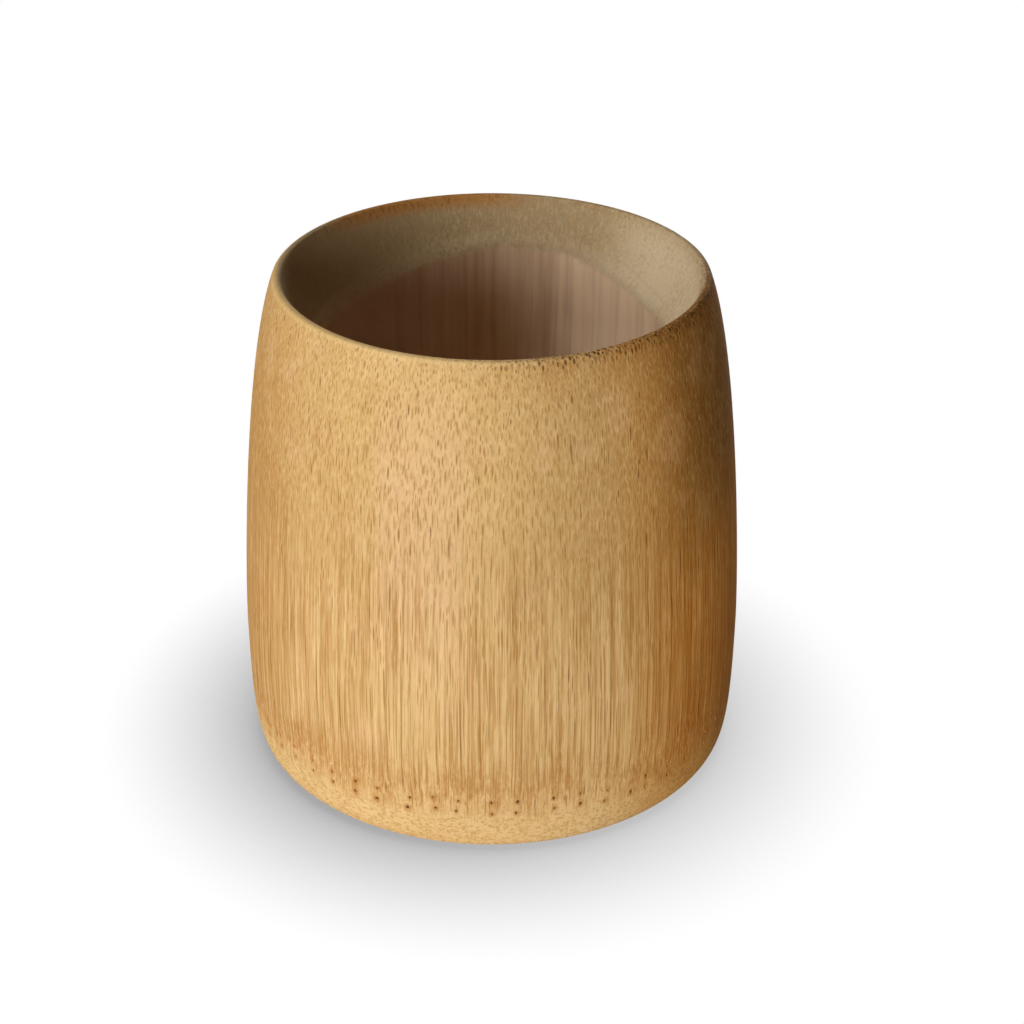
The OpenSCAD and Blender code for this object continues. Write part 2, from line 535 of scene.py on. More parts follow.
def lathe_tree():
    """Turns a line of section places round the axis; a second line is where the hollow is widest."""
    tree, s, given, result = new_tree("Turn on the lathe", "GeometryNodeTree", {"Turned": "Geometry"}, {
        "Section": "Geometry", "Segments": 360, "Bearing": 0.0, "Spread": 0.5, "Wobble": 0.3, "Relief": 0.0,
        "Material": "Material"})
    section = given["Section"]
    rows = s.add("GeometryNodeAttributeDomainSize", {"Geometry": section}).outputs["Point Count"]
    columns = s.whole("ADD", given["Segments"], 1)
    grid = s.add("GeometryNodeMeshGrid", {"Vertices X": columns, "Vertices Y": rows}).outputs["Mesh"]
    index = s.make("GeometryNodeInputIndex")
    row = s.whole("MODULO", index, rows)
    column = s.whole("DIVIDE_FLOOR", index, rows)
    turn = s.times(s.math("DIVIDE", column, given["Segments"]), math.tau)

    narrow = s.sample(section, row, s.position(), "FLOAT_VECTOR")
    wide = s.sample(section, row, s.attribute("widest", "FLOAT_VECTOR"), "FLOAT_VECTOR")
    natural = s.sample(section, row, s.attribute("natural"))
    # How wide the hollow is here: a broad lobe on one bearing, and a slow wobble all round
    short_way = s.math("ARCCOSINE", s.math("COSINE", s.minus(turn, given["Bearing"])))
    spreads = s.math("POWER", s.math("DIVIDE", short_way, given["Spread"]), 2.0)
    bell = s.math("EXPONENT", s.times(-1.0, spreads))
    circle = s.combine(s.math("COSINE", turn), s.math("SINE", turn), 0.0)
    slow = s.minus(s.noise(circle, 3.2, 3.0, 0.55), 0.5)
    width = s.plus(bell, s.times(slow, given["Wobble"]), clamp=True)
    place = s.add("ShaderNodeMix", {"Factor": width, 4: narrow, 5: wide}, data_type="VECTOR").outputs[1]
    turned = s.make("ShaderNodeVectorRotate", {"Vector": place, "Angle": turn}, rotation_type="Z_AXIS")
    moved = s.make("GeometryNodeSetPosition", {"Geometry": grid, "Position": turned})
    marked = s.store(moved, "natural", natural)
    closed = s.make("GeometryNodeMergeByDistance", {"Geometry": marked, "Distance": MERGE_DISTANCE})
    # The natural faces keep their upright ridges and low swellings
    position = s.position()
    x, y, z = s.split(position)
    ridges = s.noise(s.combine(x, y, s.times(z, 0.06)), 420.0, 3.0, 0.6)
    swell = s.noise(position, 60.0, 2.0, 0.5)
    height = s.minus(s.plus(s.times(ridges, 0.6), s.times(swell, 0.4)), 0.5)
    relieved = s.lift(closed, s.times(height, given["Relief"], s.attribute("natural")))
    smooth = s.make("GeometryNodeSetShadeSmooth", {"Geometry": relieved})
    s.deliver(smooth, given["Material"], result["Turned"])
    return tree


PORE_INPUTS = {
    "Face": "Geometry", "Pairs": 36, "Upper row": 0.01, "Row gap": 0.002, "Radius": 0.0003, "Scatter": 0.5,
    "Seed": 1}


def pore_places_tree():
    """Pairs of points, one above the other, scattered round the node and set on its face."""
    tree, s, given, result = new_tree(
        "Places of the pores", "GeometryNodeTree", {"Places": "Geometry"}, PORE_INPUTS)
    index = s.make("GeometryNodeInputIndex")
    pair = s.whole("DIVIDE_FLOOR", index, 2)
    row = s.whole("MODULO", index, 2)

    def chance(low, high, draw, which):
        seed = s.whole("ADD", given["Seed"], draw)
        node = s.add("FunctionNodeRandomValue", {"ID": which, "Seed": seed}, data_type="FLOAT")
        floats = [socket for socket in node.inputs if socket.type == "VALUE"]
        s.join(low, floats[0])
        s.join(high, floats[1])
        return next(socket for socket in node.outputs if socket.type == "VALUE")

    shift = s.times(chance(-0.5, 0.5, 1, pair), given["Scatter"])
    lean = chance(-0.06, 0.06, 2, index)
    turn = s.times(s.math("DIVIDE", s.plus(pair, shift, lean), given["Pairs"]), math.tau)
    drop = s.times(row, given["Row gap"])
    rise = s.times(given["Row gap"], chance(-0.28, 0.28, 3, pair))
    height = s.plus(s.minus(given["Upper row"], drop), rise)
    # The points start just outside the cup and are then set on the nearest place of its face
    outside_r = s.times(BELLY_R, 1.02)
    start = s.combine(s.times(s.math("COSINE", turn), outside_r),
                      s.times(s.math("SINE", turn), outside_r), height)
    count = s.whole("MULTIPLY", given["Pairs"], 2)
    points = s.make("GeometryNodePoints", {"Count": count, "Position": start})
    near = s.add("GeometryNodeProximity", {0: given["Face"]}, target_element="FACES").outputs["Position"]
    seated = s.make("GeometryNodeSetPosition", {"Geometry": points, "Position": near})
    sized = s.store(seated, "pore_r", s.times(given["Radius"], chance(0.65, 1.25, 4, index)))
    s.join(s.make("GeometryNodePointsToVertices", {0: sized}), result["Places"])
    return tree


def pore_tree(places_tree):
    """Presses the pores into a face, with a low rim round each, and marks them for the finish."""
    tree, s, given, result = new_tree("Press the pores", "GeometryNodeTree", {"Pressed": "Geometry"},
                                      {**PORE_INPUTS, "Depth": 0.0003, "Material": "Material"})
    places = s.add("GeometryNodeGroup", node_tree=places_tree)
    for name in PORE_INPUTS:
        s.join(given[name], places.inputs[name])
    pores = places.outputs[0]
    position = s.position()
    nearest = s.make("GeometryNodeSampleNearest", {"Geometry": pores}, domain="POINT")
    centre = s.sample(pores, nearest, position, "FLOAT_VECTOR")
    radius = s.sample(pores, nearest, s.attribute("pore_r"))
    # How many of the nearest pore's radii a place lies from its middle
    away = s.math("DIVIDE", s.vector("DISTANCE", position, centre), radius)
    inside = s.ramp(away, 0.4, 1.05, 1.0, 0.0)
    rim = s.times(s.ramp(away, 0.9, 1.25), s.ramp(away, 1.25, 1.9, 1.0, 0.0))
    press = s.minus(s.times(rim, 0.12), inside)
    marked = s.store(given["Face"], "pore", inside)
    marked = s.store(marked, "pore_ring", s.ramp(away, 1.0, 3.4, 1.0, 0.0))
    s.deliver(s.lift(marked, s.times(press, given["Depth"])), given["Material"], result["Pressed"])
    return tree


def section_object(name, narrow, widest, natural):
    """The section places as a row of loose vertices that carry their widest place and their relief."""
    mesh = bpy.data.meshes.new(name)
    mesh.from_pydata([(p.x, 0.0, p.y) for p in narrow], [], [])
    mesh.attributes.new("widest", "FLOAT_VECTOR", "POINT")
    mesh.attributes.new("natural", "FLOAT", "POINT")
    mesh.attributes["widest"].data.foreach_set("vector", [c for p in widest for c in (p.x, 0.0, p.y)])
    mesh.attributes["natural"].data.foreach_set("value", natural)
    piece = bpy.data.objects.new(name, mesh)
    bpy.context.scene.collection.objects.link(piece)
    return piece


def apply_tree(piece, tree, settings, **more):
    """Runs a geometry tree, with sockets named like the settings, and keeps the result as a plain mesh."""
    properties = settings.bl_rna.properties
    values = {properties[key].name: getattr(settings, key) for key in settings.__annotations__} | more
    modifier = piece.modifiers.new(tree.name, "NODES")
    modifier.node_group = tree
    for item in tree.interface.items_tree:
        if item.in_out == "INPUT" and item.name in values:
            modifier[item.identifier] = values[item.name]
    depsgraph = bpy.context.evaluated_depsgraph_get()
    evaluated = piece.evaluated_get(depsgraph)
    mesh = bpy.data.meshes.new_from_object(evaluated, preserve_all_data_layers=True, depsgraph=depsgraph)
    piece.modifiers.clear()
    mesh.name = piece.name
    piece.data = mesh
    return mesh


def face_outwards(mesh):
    """Points a closed mesh's faces outwards and stops if it isn't closed."""
    shell = bmesh.new()
    shell.from_mesh(mesh)
    open_edges = sum(not edge.is_manifold for edge in shell.edges)
    if open_edges:
        raise RuntimeError(f"{mesh.name} has {open_edges} open edges")
    bmesh.ops.recalc_face_normals(shell, faces=shell.faces)
    if shell.calc_volume(signed=True) < 0:
        bmesh.ops.reverse_faces(shell, faces=shell.faces)
    shell.to_mesh(mesh)
    shell.free()
    mesh.set_sharp_from_angle(angle=SHARP_ANGLE)


def turn_piece(name, line_of, tight, wide, natural, finish, segments):
    """Turns one closed section line into a piece, narrow all round but for the hollow's wide side."""
    shape = bpy.context.scene.cup_shape
    narrow_line = line_of(Section(shape, -tight))
    wide_line = line_of(Section(shape, wide))
    piece = section_object(name, narrow_line, wide_line, [natural(p) for p in narrow_line])
    apply_tree(piece, lathe_tree(), bpy.context.scene.cup_hollow, Segments=segments, Material=finish)
    face_outwards(piece.data)
    return piece


def refine_near(mesh, marks, reach):
    """Cuts the faces near the marks smaller, so that what is pressed there is round."""
    shell = bmesh.new()
    shell.from_mesh(mesh)
    near = []
    for edge in shell.edges:
        middle = (edge.verts[0].co + edge.verts[1].co) / 2
        if middle.z < NODE_H - MM and any((middle - m).length < reach for m in marks):
            near.append(edge)
    bmesh.ops.subdivide_edges(shell, edges=near, cuts=PORE_CUTS, use_grid_fill=True)
    bmesh.ops.triangulate(shell, faces=[f for f in shell.faces if len(f.verts) > 4])
    shell.to_mesh(mesh)
    shell.free()
    for polygon in mesh.polygons:
        polygon.use_smooth = True


def culm_tissue():
    """The pattern of turned culm: bundles as upright strands that each cut face shows in its own way."""
    colours = bpy.context.scene.cup_colours
    tree, s, given, result = new_tree("Culm tissue", "ShaderNodeTree", {
        "Colour": "Color", "Height": "Float", "Roughness": "Float"}, {"Place": "Vector"})
    # From here on lengths are in millimetres
    place = s.vector("SCALE", given["Place"], 1 / MM)
    x, y, z = s.split(place)
    radius = s.vector("LENGTH", s.combine(x, y, 0.0))
    # A point on the fullest turn at the same bearing, so that a pattern has no seam round the cup
    towards_x = s.math("DIVIDE", x, radius)
    towards_y = s.math("DIVIDE", y, radius)
    round_x = s.times(towards_x, BELLY_R / MM)
    round_y = s.times(towards_y, BELLY_R / MM)

    def drawn_out(level_x, level_y, z_share, *grain):
        """Noise that a small share of z draws out upright."""
        return s.noise(s.combine(level_x, level_y, s.times(z, z_share)), *grain)

    def patch(bearing, height, half_turn, half_height, strength):
        """A soft-edged stretch of the cup, with angles in degrees."""
        turned = math.radians(bearing)
        facing = s.plus(s.times(towards_x, math.cos(turned)), s.times(towards_y, math.sin(turned)))
        wide = s.ramp(facing, math.cos(math.radians(half_turn)), math.cos(math.radians(half_turn * 0.3)))
        off = s.math("ABSOLUTE", s.minus(z, height))
        tall = s.ramp(off, half_height, half_height * 0.2)
        return s.times(wide, tall, strength)

    def stretches(name):
        """The strongest of the named stretches at each place."""
        return s.most(*[patch(*stretch) for stretch in STRETCHES[name]])

    def spotted(scale, detail, roughness, low, high, *to):
        """Soft spots that run the same in all directions."""
        return s.ramp(s.noise(place, scale, detail, roughness), low, high, *to)

    broad = drawn_out(round_x, round_y, 0.45, 0.10, 3.0, 0.6)
    wave = drawn_out(round_x, round_y, 0.9, 0.16, 2.0, 0.5)

    # The strands stand upright and wander a little
    slow_place = s.combine(s.times(x, 0.09), s.times(y, 0.09), s.times(z, 0.05))
    far_place = s.vector("ADD", slow_place, (9.1, 3.7, 5.3))
    drift_x = s.times(s.minus(s.noise(slow_place, 1.0, 2.0, 0.5), 0.5), 1.4)
    drift_y = s.times(s.minus(s.noise(far_place, 1.0, 2.0, 0.5), 0.5), 1.4)
    strands = s.combine(s.plus(x, drift_x), s.plus(y, drift_y), 0.0)

    def bundles(cell, shift, thin, thick, faint, darkest):
        """Cut bundles, each with its own size and darkness, and what draws the paler tissue round them."""
        distance, draw = s.cells(s.vector("ADD", strands, shift), 1 / cell, 0.9, "2D")
        dark_draw, size_draw, _ = s.split(draw)
        reach = s.ramp(size_draw, 0.0, 1.0, thin, thick, smooth=False)
        away = s.times(distance, cell)
        strength = s.times(s.ramp(dark_draw, 0.05, 1.0, faint, darkest, smooth=False), upright)
        cut = s.times(s.ramp(away, reach, s.times(reach, 0.35)), strength)
        return cut, lambda: s.times(s.ramp(away, s.times(reach, 1.9), s.times(reach, 0.9)), strength)

    # The fibres end unevenly above the node, and below that the tissue runs all ways
    ends = s.plus(3.0, s.times(drawn_out(round_x, round_y, 0.0, 0.45, 4.0, 0.8), 15.0))
    above_node = s.minus(z, ends)
    upright = s.ramp(above_node, -6.5, -1.5)
    core, _ = bundles(1.4, (0.0, 0.0, 0.0), 0.11, 0.21, 0.1, 0.9)
    fine, paler = bundles(0.44, (31.0, 17.0, 0.0), 0.10, 0.20, 0.35, 1.0)
    vessel, _ = bundles(0.54, (57.0, 43.0, 0.0), 0.14, 0.30, 0.3, 1.0)

    # Upright fibres, strong where the face runs along them, from broad bands to hairs and rare deep lines
    along = s.times(s.ramp(above_node, -2.0, 3.0), s.ramp(z, 62.0, 38.0))
    sway = s.times(s.minus(wave, 0.5), s.ramp(z, 26.0, 8.0, 0.2, 1.0))
    swayed = (s.plus(round_x, s.times(towards_y, sway)), s.minus(round_y, s.times(towards_x, sway)))
    bands = drawn_out(*swayed, 0.035, 0.62, 2.0, 0.6)
    lines = drawn_out(*swayed, 0.02, 2.1, 2.0, 0.65)
    hair = drawn_out(*swayed, 0.016, 4.4, 1.0, 0.5)
    deep = drawn_out(*swayed, 0.012, 1.35, 1.0, 0.5)
    fleck = drawn_out(*swayed, 0.26, 2.4, 3.0, 0.7)
    line_dark, line_light, band_dark, band_light, hair_dark, deep_dark = (
        s.times(s.ramp(fibres, low, high), along) for fibres, low, high in (
            (lines, 0.50, 0.62), (lines, 0.47, 0.36), (bands, 0.52, 0.72), (bands, 0.48, 0.28),
            (hair, 0.54, 0.68), (deep, 0.615, 0.66)))

    # The node's tissue runs all ways and looks granular
    mealy = s.noise(place, 0.42, 3.0, 0.6)
    curled = s.vector("ADD", s.vector("MULTIPLY", place, (1.0, 1.0, 1.7)),
                      s.vector("SCALE", s.combine(mealy, wave, fleck), 1.5))
    grain, grain_draw = s.cells(curled, 1.8, 1.0, "3D")
    node_zone = s.ramp(above_node, -1.5, -5.5)
    grains = s.times(s.ramp(grain, 0.85, 0.35), node_zone)
    shade_draw = s.split(grain_draw)[0]
    speck = s.times(grains, s.ramp(shade_draw, 0.30, 0.8))
    glint = s.times(grains, s.ramp(shade_draw, 0.35, 0.0))

    # Amber stains: a faint one all round where the fibres end, and stronger ones above the node
    ending = s.times(s.ramp(above_node, -3.5, 0.5), s.ramp(above_node, 9.0, 1.5))
    stain = s.most(stretches("stained"), s.times(ending, 0.7))
    streaky = s.plus(s.times(lines, 0.5), s.times(wave, 0.5))
    stain = s.times(stain, s.ramp(streaky, 0.40, 0.58, 0.2, 1.0))

    # The ground varies round the cup; some of its stretches are painted shade or a painted sheen
    ground = s.paint(
        colours.ground,
        # The culm's own duller tone in broad patches, and painted shade in the olive stretch
        (s.most(s.ramp(broad, 0.46, 0.74, 0.0, 0.6), stretches("olive")), colours.ground_olive_and_shade),
        # Painted shade from the dark stretches
        (stretches("dark"), colours.ground_painted_shade),
        # Painted shade from the darkest stretch
        (stretches("darkest"), colours.ground_painted_deepest_shade),
        # The culm's own faint rosy patches, and a painted sheen in the rosy stretch
        (s.most(s.ramp(wave, 0.52, 0.72, 0.0, 0.4), stretches("rosy")), colours.ground_pink_and_sheen),
        # The nodal band is paler, partly its own tissue and partly painted light on the heel where it turns
        # under
        (s.times(node_zone, 0.75), colours.node_ground_and_light),
        (s.times(s.ramp(mealy, 0.50, 0.66), s.times(node_zone, 0.5)), colours.ground_pink_and_sheen))

    # Towards the hollow the tissue is paler and greyer, on one side from further out
    outer = s.ramp(towards_y, -0.45, 0.35, 31.75, 32.35)
    inward = s.times(s.ramp(radius, outer, s.minus(outer, 0.5)), s.ramp(z, 56.0, 60.0))
    plain = s.minus(1.0, s.times(inward, 0.72))
    mottle = s.times(spotted(1.9, 4.0, 0.75, 0.44, 0.62), s.ramp(wave, 0.40, 0.60, 0.35, 0.85))
    inner = s.paint(
        colours.inner_ground,
        (s.ramp(z, 68.0, 73.5), colours.inner_dark),
        (mottle, colours.inner_mottle),
        (spotted(2.2, 3.0, 0.7, 0.50, 0.36, 0.0, 0.3), colours.inner_ground))

    # The fibres, flecks, grains and fine bundles
    light = s.plus(s.times(line_light, 0.45), s.times(band_light, 0.3), clamp=True)
    streak = s.plus(s.times(line_dark, 0.42), s.times(band_dark, 0.12), s.times(hair_dark, 0.30),
                    s.times(deep_dark, 0.38), clamp=True)
    broken = s.times(s.plus(s.ramp(along, 0.0, 1.0, 0.5, 0.14), s.times(ending, 0.28)), upright,
                     s.minus(1.0, s.times(inward, 0.5)))
    ground = s.paint(
        ground,
        (inward, inner),
        (light, colours.fibre_light),
        (s.times(stain, 0.8), colours.amber),
        (streak, colours.fibre_dark),
        (s.times(s.ramp(fleck, 0.51, 0.66), broken), colours.fibre_dark),
        (s.times(s.ramp(fleck, 0.48, 0.34), broken), colours.fibre_light),
        (s.times(glint, 0.4), colours.fibre_light),
        (s.times(speck, 0.6), colours.node_dark),
        (s.times(paler(), plain, 0.30), colours.fibre_light),
        (s.times(fine, plain, 0.72), colours.fibre_dark))

    # The lip's edge is darker, and the bundles are cut across there, so their open vessels look darkest
    crumbs = spotted(1.6, 3.0, 0.7, 0.46, 0.58)
    edge = s.times(s.ramp(z, 76.9, 77.5), s.times(crumbs, stretches("dark lip edge")))
    # Painted light on the bevel's right side
    painted_lit_bevel = s.times(stretches("painted lit bevel"), inward, s.minus(1.0, s.times(mottle, 0.5)))
    stained_lip = s.times(stretches("stained lip"), s.ramp(radius, 30.0, 30.8, 0.0, 0.85))
    open_vessels = s.times(vessel, s.times(s.ramp(z, 75.4, 77.0), stretches("open vessels")))
    tissue = s.paint(
        ground,
        # Painted light on the top of the lip on the front-left
        (s.times(s.ramp(z, 77.2, 77.8), stretches("painted lit edge")), colours.lip_painted_light),
        (edge, colours.rim),
        (painted_lit_bevel, colours.inner_painted_light),
        # Painted shade on the bevel's left side
        (s.times(stretches("painted shaded bevel"), inward), colours.inner_painted_shade),
        (stained_lip, colours.amber),
        (s.times(stained_lip, crumbs, 0.75), colours.rim),
        (s.times(core, plain, 0.7), colours.bundle),
        (open_vessels, colours.vessel))

    # Painted shade: the colours are multiplied darker towards the lip, darker and warmer on the right side,
    # and darker still there near the lip, in all of the outer tissues
    outward = s.minus(1.0, inward)
    tissue = s.paint(
        tissue,
        (s.times(s.ramp(z, 34.0, 54.0), outward), colours.upper_painted_shade),
        (s.times(stretches("painted shade side"), outward), colours.warm_painted_shade),
        (s.times(stretches("painted deep shade"), outward), colours.deep_painted_shade), mode="MULTIPLY")

    low = s.plus(s.times(core, 0.7), s.times(fine, 0.25), s.times(streak, 0.8), open_vessels,
                 s.times(speck, 0.3))
    s.join(tissue, result["Colour"])
    s.join(s.minus(1.0, low), result["Height"])
    s.join(s.plus(0.66, s.times(low, 0.15), clamp=True), result["Roughness"])
    return tree


def tissue_group():
    """The one pattern of culm tissue that the wall, the node and the lining's top share."""
    return bpy.data.node_groups.get("Culm tissue") or culm_tissue()


def start_material(name, gloss):
    """A material with its shader's constant values set, and a sketch of its tree."""
    material = bpy.data.materials.new(name)
    material.use_nodes = True
    sketch = NodeSketch(material.node_tree)
    shader = material.node_tree.nodes["Principled BSDF"]
    shader.inputs["Specular IOR Level"].default_value = gloss
    place = sketch.add("ShaderNodeTexCoord").outputs["Object"]
    return material, sketch, shader, place


def set_finish(sketch, shader, colour, roughness, height, depth):
    """Joins a colour, a roughness and a relief of a real depth in metres to the shader."""
    sketch.join(colour, shader.inputs["Base Color"])
    sketch.join(roughness, shader.inputs["Roughness"])
    relief = sketch.make("ShaderNodeBump", {"Height": height, "Distance": depth, "Strength": 1.0})
    sketch.join(relief, shader.inputs["Normal"])


def tissue_at(sketch, place):
    """The culm tissue's colour, height and roughness at a place."""
    group = sketch.add("ShaderNodeGroup", node_tree=tissue_group())
    sketch.join(place, group.inputs["Place"])
    return group.outputs


def turned_culm(name, pores=False):
    """Turned, sanded and clear-finished culm; the nodal band's pores are dark inside."""
    colours = bpy.context.scene.cup_colours
    material, s, shader, place = start_material(name, gloss=0.02)
    tissue, height, roughness = tissue_at(s, place)
    if pores:
        ring = s.add("ShaderNodeAttribute", attribute_name="pore_ring").outputs["Fac"]
        tissue = s.blend(s.times(ring, 0.6), tissue, colours.amber)
        pore = s.add("ShaderNodeAttribute", attribute_name="pore").outputs["Fac"]
        tissue = s.blend(s.ramp(pore, 0.1, 0.75), tissue, colours.pore)
    set_finish(s, shader, tissue, roughness, height, 0.09 * MM)
    return material


def natural_lining():
    """The brown inner skin of the culm, with upright streaks, and pale tissue where the bevel cuts it."""
    colours = bpy.context.scene.cup_colours
    shape = bpy.context.scene.cup_shape
    material, s, shader, place = start_material("Natural lining", gloss=0.1)
    x, y, z = s.split(s.vector("SCALE", place, 1 / MM))
    streak = s.noise(s.combine(x, y, s.times(z, 0.02)), 0.55, 4.0, 0.65)
    cloud = s.noise(s.combine(x, y, s.times(z, 0.5)), 0.07, 3.0, 0.6)
    mix = s.plus(s.times(streak, 0.55), s.times(cloud, 0.45))
    skin = s.blend(s.ramp(mix, 0.38, 0.68), colours.lining, colours.lining_dark)
    # The skin is paler towards one side of the hollow and darker towards the other, partly its own tone and
    # partly painted shade
    shaded_side = s.plus(s.times(x, -0.8), s.times(y, 0.1))
    skin = s.blend(s.ramp(shaded_side, -10.0, 19.0, 0.0, 0.85), skin, colours.lining_deep_and_shade)
    # How far a place lies below the bevel's cone, in millimetres
    cone = Section(shape)
    radius = s.vector("LENGTH", s.combine(x, y, 0.0))
    rise = s.times(s.minus(radius, cone.hollow_r / MM), 1 / math.tan(cone.lean))
    below = s.minus(s.plus(rise, (CUP_H - shape.bevel_depth) / MM), z)
    ragged = s.times(s.minus(s.noise(s.combine(x, y, z), 0.8, 3.0, 0.6), 0.5), 1.6)
    skin_share = s.ramp(s.plus(below, ragged), 0.1, 1.5)
    tissue, _, _ = tissue_at(s, place)
    roughness = s.ramp(streak, 0.3, 0.7, 0.42, 0.6, smooth=False)
    set_finish(s, shader, s.blend(skin_share, tissue, skin), roughness, streak, 0.08 * MM)
    return material


def cross_wall_finish():
    """The culm's natural cross wall: dull, pale brown and finely granular."""
    colours = bpy.context.scene.cup_colours
    material, s, shader, place = start_material("Cross wall", gloss=0.05)
    place = s.vector("SCALE", place, 1 / MM)
    grain = s.noise(place, 1.4, 4.0, 0.65)
    cloud = s.noise(place, 0.12, 3.0, 0.6)
    # The hollow under the foot is turned, so it is as pale as the node's cut tissue
    under = s.ramp(s.split(place)[2], 2.2, 1.6, 0.0, 0.65)
    tissue = s.paint(
        colours.floor,
        (s.ramp(cloud, 0.30, 0.75, 0.0, 0.3), colours.lining),
        (s.ramp(grain, 0.48, 0.66, 0.0, 0.6), colours.lining_deep_and_shade),
        (under, colours.node_ground_and_light))
    set_finish(s, shader, tissue, s.ramp(grain, 0.3, 0.7, 0.5, 0.65, smooth=False), grain, 0.1 * MM)
    return material


class CUP_OT_culm_wall(bpy.types.Operator):
    """Turn the wall of the culm with its lip and bevel"""

    bl_idname = "cup.culm_wall"
    bl_label = "Culm wall"

    def execute(self, context):
        hollow = context.scene.cup_hollow
        piece = turn_piece("culm_wall_turned", Section.wall, hollow.tight, hollow.wide,
                           lambda p: 0.0, turned_culm("Turned culm"),
                           context.scene.cup_shape.segments)
        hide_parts("culm_wall")
        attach(piece, "root")
        return {"FINISHED"}


class CUP_OT_inner_skin(bpy.types.Operator):
    """Line the hollow with the culm's natural brown skin"""

    bl_idname = "cup.inner_skin"
    bl_label = "Inner skin"

    def execute(self, context):
        hollow = context.scene.cup_hollow
        inner = BORE_R - 0.3 * context.scene.cup_shape.lining_t
        piece = turn_piece("inner_skin_natural", Section.lining, hollow.tight, hollow.wide,
                           lambda p: 1.0 if p.x < inner and CORNER_Z < p.y < RELIEF_TOP else 0.0,
                           natural_lining(), context.scene.cup_shape.segments)
        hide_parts("inner_skin")
        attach(piece, "root")
        return {"FINISHED"}


class CUP_OT_node_ring(bpy.types.Operator):
    """Turn the nodal band with its foot, and press the pores into it"""

    bl_idname = "cup.node_ring"
    bl_label = "Node ring"

    def execute(self, context):
        pores = context.scene.cup_pores
        finish = turned_culm("Turned node", pores=True)
        piece = turn_piece("node_ring_turned", Section.node_ring, 0.0, 0.0, lambda p: 0.0, finish,
                           context.scene.cup_shape.segments)
        places_tree = pore_places_tree()
        places = piece.copy()
        places.data = piece.data.copy()
        context.scene.collection.objects.link(places)
        marks = [Vector(v.co) for v in apply_tree(places, places_tree, pores).vertices]
        bpy.data.objects.remove(places)
        refine_near(piece.data, marks, PORE_REACH * pores.radius)
        apply_tree(piece, pore_tree(places_tree), pores, Material=finish)
        face_outwards(piece.data)
        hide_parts("node_ring")
        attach(piece, "root")
        return {"FINISHED"}


class CUP_OT_diaphragm(bpy.types.Operator):
    """Close the bottom with the culm's natural cross wall"""

    bl_idname = "cup.diaphragm"
    bl_label = "Diaphragm"

    def execute(self, context):
        piece = turn_piece("diaphragm_natural", Section.cross_wall, 0.0, 0.0,
                           lambda p: 1.0 if p.y > RECESS_Z and p.x < BORE_R - RELIEF_RIM else 0.0,
                           cross_wall_finish(), FLOOR_SEGMENTS)
        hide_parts("diaphragm")
        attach(piece, "root")
        return {"FINISHED"}


def aim(thing, target):
    """Turns a camera or a lamp towards a place."""
    thing.rotation_euler = (target - thing.location).to_track_quat("-Z", "Y").to_euler()


def white_when_seen(sketch, surface, strength, out):
    """Shows plain white to the camera, to mirrors and to glass, and the surface itself to all other light."""
    path = sketch.add("ShaderNodeLightPath").outputs
    seen = sketch.most(path["Is Camera Ray"], path["Is Glossy Ray"], path["Is Transmission Ray"])
    white = "ShaderNodeBackground" if "Background" in sketch.tree.nodes else "ShaderNodeEmission"
    glow = sketch.add(white, {"Color": WHITE, "Strength": strength})
    pick = sketch.add("ShaderNodeMixShader", {0: seen})
    sketch.join(surface, pick.inputs[1])
    sketch.join(glow.outputs[0], pick.inputs[2])
    sketch.join(pick.outputs[0], out)


def hang_sun(name, bearing, height, strength, spread):
    """A soft light from far away, with its bearing taken from the camera's side."""
    lamp = bpy.data.objects.new(name, bpy.data.lights.new(name, "SUN"))
    lamp.data.energy = strength
    lamp.data.angle = spread
    level = Vector((math.sin(bearing), -math.cos(bearing), 0))
    lamp.location = CUP_MIDDLE + level * math.cos(height) + Vector((0, 0, math.sin(height)))
    aim(lamp, CUP_MIDDLE)
    bpy.context.scene.collection.objects.link(lamp)


def set_camera(scene, stage):
    """The camera at the photograph's viewing angle, with the cup at its place in the frame."""
    camera = bpy.data.objects.new("Camera", bpy.data.cameras.new("Camera"))
    scene.collection.objects.link(camera)
    back = Vector((0, -math.cos(stage.elevation), math.sin(stage.elevation)))
    camera.location = CUP_MIDDLE + stage.distance * back
    aim(camera, CUP_MIDDLE)
    camera.data.sensor_width = SENSOR_WIDTH
    camera.data.lens = stage.lens
    camera.data.clip_start = CLIP_START
    camera.data.shift_x = (PICTURE_SIDE / 2 - stage.axis_px) / PICTURE_SIDE
    camera.data.shift_y = (stage.middle_px - PICTURE_SIDE / 2) / PICTURE_SIDE
    scene.camera = camera


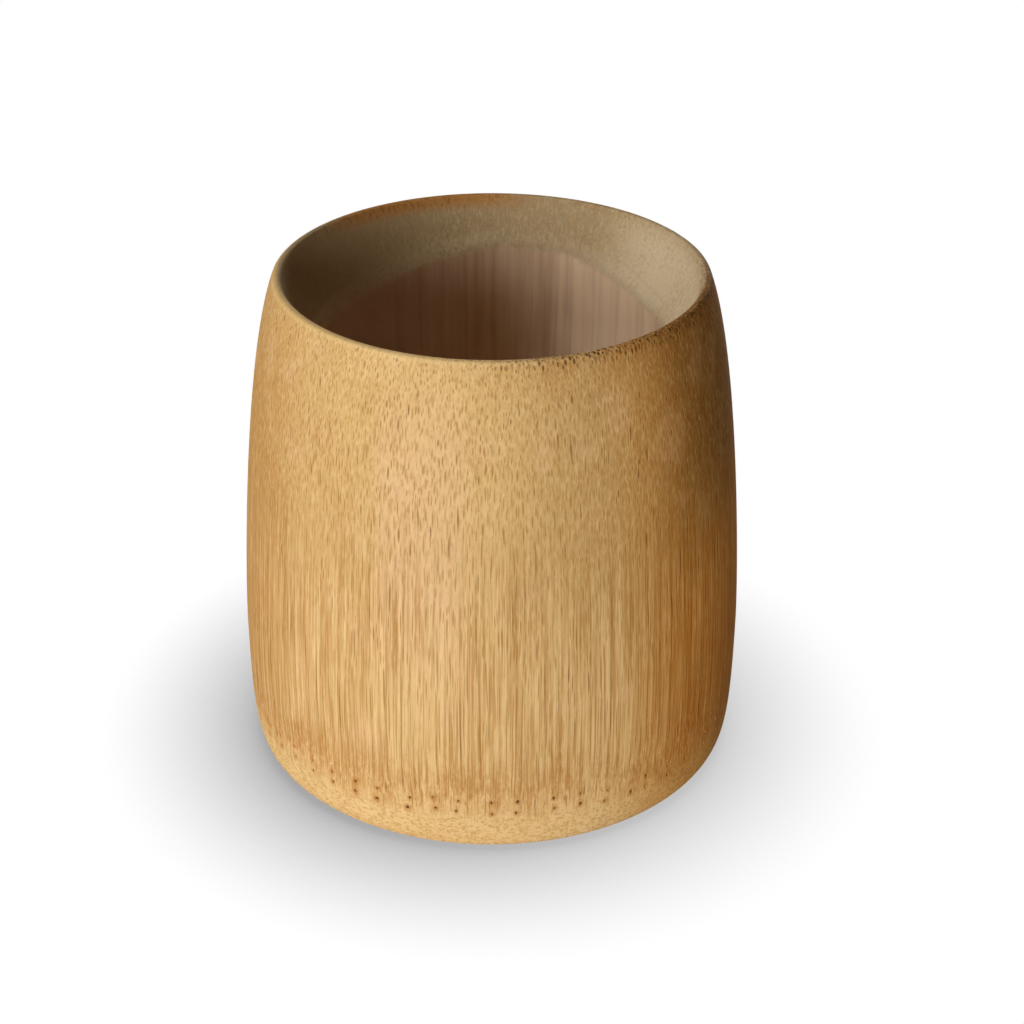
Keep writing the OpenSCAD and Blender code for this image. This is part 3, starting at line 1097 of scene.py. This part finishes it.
def lay_floor(scene, stage):
    """The pale floor, which looks white but for the cup's shadow, painted as a shade round the foot that is
    darker on the left.
    """
    mesh = bpy.data.meshes.new("Floor")
    half = FLOOR_HALF
    corners = [(-half, -half, 0), (half, -half, 0), (half, half, 0), (-half, half, 0)]
    mesh.from_pydata(corners, [], [(0, 1, 2, 3)])
    floor = bpy.data.objects.new("Floor", mesh)
    scene.collection.objects.link(floor)
    material = bpy.data.materials.new("Pale floor")
    material.use_nodes = True
    s = NodeSketch(material.node_tree)
    shader = material.node_tree.nodes["Principled BSDF"]
    shader.inputs["Base Color"].default_value = FLOOR_BOUNCE
    shader.inputs["Roughness"].default_value = 1.0
    shader.inputs["Specular IOR Level"].default_value = 0.0
    open_sky = s.add("ShaderNodeAmbientOcclusion", {"Distance": stage.contact_reach},
                     samples=OPEN_SKY_SAMPLES).outputs["AO"]
    # Painted shadow: the white that the camera sees is dimmed near the foot by how open the sky is there,
    # more on the left than on the right
    across = s.split(s.add("ShaderNodeTexCoord").outputs["Object"])[0]
    shade = s.ramp(across, -BELLY_R, BELLY_R, stage.shade_left, stage.shade_right)
    glow = s.ramp(open_sky, *OPEN_SKY, shade, 1.0, smooth=False)
    white_when_seen(s, shader.outputs[0], glow, material.node_tree.nodes["Material Output"].inputs["Surface"])
    mesh.materials.append(material)
    # The low key light is as tall as the cup, so its lower half isn't cut off by the floor
    floor.visible_shadow = False


def fill_world(scene, stage):
    """A weak warm fill from all round, which looks white."""
    world = bpy.data.worlds.new("Studio")
    world.use_nodes = True
    background = world.node_tree.nodes["Background"]
    background.inputs["Color"].default_value = (*stage.fill_colour, 1)
    background.inputs["Strength"].default_value = stage.fill_strength
    white_when_seen(NodeSketch(world.node_tree), background.outputs[0], 1.0,
                    world.node_tree.nodes["World Output"].inputs["Surface"])
    scene.world = world


class CUP_OT_stage(bpy.types.Operator):
    """Set up the camera, the pale floor and the soft studio light"""

    bl_idname = "cup.stage"
    bl_label = "Stage"

    def execute(self, context):
        scene = context.scene
        stage = scene.cup_stage
        scene.view_settings.view_transform = "Standard"
        set_camera(scene, stage)
        lay_floor(scene, stage)
        fill_world(scene, stage)
        hang_sun("Key", stage.key_bearing, stage.key_height, stage.key_strength, KEY_SPREAD)
        hang_sun("Side light", stage.side_bearing, stage.side_height, stage.side_strength, SIDE_SPREAD)
        hang_sun("Back light", stage.back_bearing, stage.key_height, stage.back_strength, BACK_SPREAD)
        return {"FINISHED"}


class CUP_PT_sidebar(bpy.types.Panel):
    """Buttons and sizes of the cup"""

    bl_label = "Bamboo cup"
    bl_idname = "CUP_PT_sidebar"
    bl_space_type = "VIEW_3D"
    bl_region_type = "UI"
    bl_category = "Bamboo cup"

    def draw(self, context):
        layout = self.layout
        for operator in OPERATORS:
            layout.operator(operator.bl_idname)
        for name, group in GROUPS.items():
            settings = getattr(context.scene, name)
            box = layout.box()
            box.label(text=group.__doc__)
            for prop in group.__annotations__:
                box.prop(settings, prop)


GROUPS = {
    "cup_shape": CupShape,
    "cup_hollow": HollowShape,
    "cup_pores": PoreShape,
    "cup_colours": BambooColours,
    "cup_stage": StageSettings,
}
OPERATORS = [CUP_OT_culm_wall, CUP_OT_inner_skin, CUP_OT_node_ring, CUP_OT_diaphragm, CUP_OT_stage]


def register():
    for cls in [*GROUPS.values(), *OPERATORS, CUP_PT_sidebar]:
        bpy.utils.register_class(cls)
    for name, group in GROUPS.items():
        setattr(bpy.types.Scene, name, bpy.props.PointerProperty(type=group))


def unregister():
    for name in GROUPS:
        delattr(bpy.types.Scene, name)
    for cls in reversed([*GROUPS.values(), *OPERATORS, CUP_PT_sidebar]):
        bpy.utils.unregister_class(cls)


def main():
    register()
    bpy.ops.cup.stage()
    bpy.ops.cup.culm_wall()
    bpy.ops.cup.inner_skin()
    bpy.ops.cup.node_ring()
    bpy.ops.cup.diaphragm()


if __name__ == "__main__":
    main()
